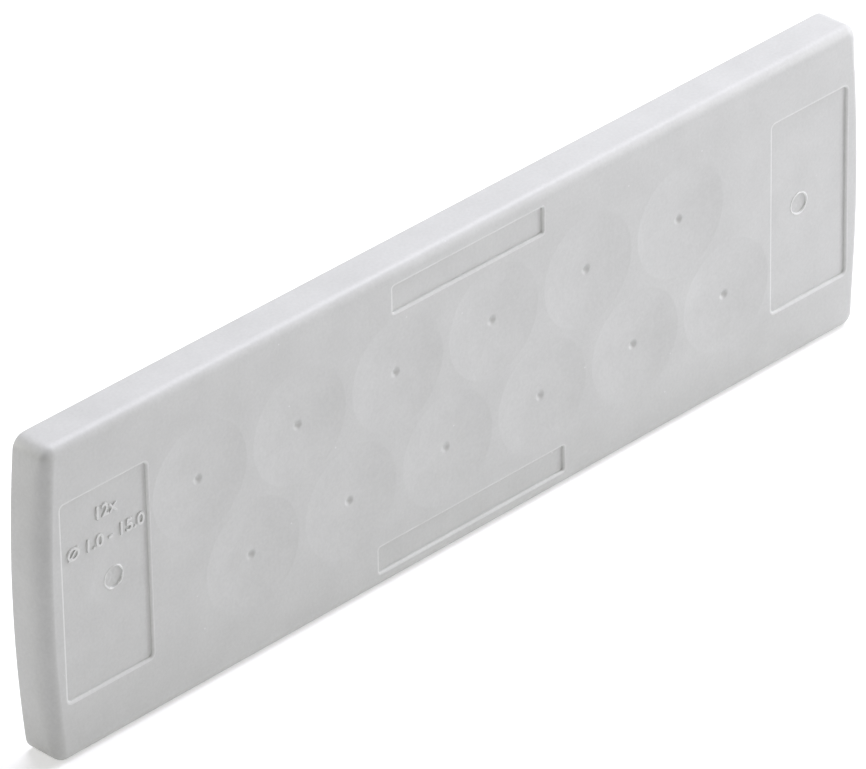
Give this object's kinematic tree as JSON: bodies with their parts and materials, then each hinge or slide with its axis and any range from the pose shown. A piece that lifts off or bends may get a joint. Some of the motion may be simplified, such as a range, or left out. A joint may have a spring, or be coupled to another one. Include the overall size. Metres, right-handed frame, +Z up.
{
  "type": "cable entry plate",
  "caption": "Flat snap-in cable entry plate: a soft grey cover with dished pierce-through membranes in staggered rows, bonded over a rigid frame with a collar.",
  "frame": {"origin": "middle of the cut-out, on the plane of the seal's rear rim, where the plate meets the cabinet wall", "axes": "+X along the plate, +Z up its height, +Y into the cabinet, so the visible front faces -Y"},
  "size_m": [0.1456, 0.0111, 0.0446],
  "materials": {
    "cover": "matte",
    "frame": "satin"
  },
  "bodies": {
    "root": {"membrane_cover": "cover", "support_frame": "frame"}
  },
  "joints": []
}
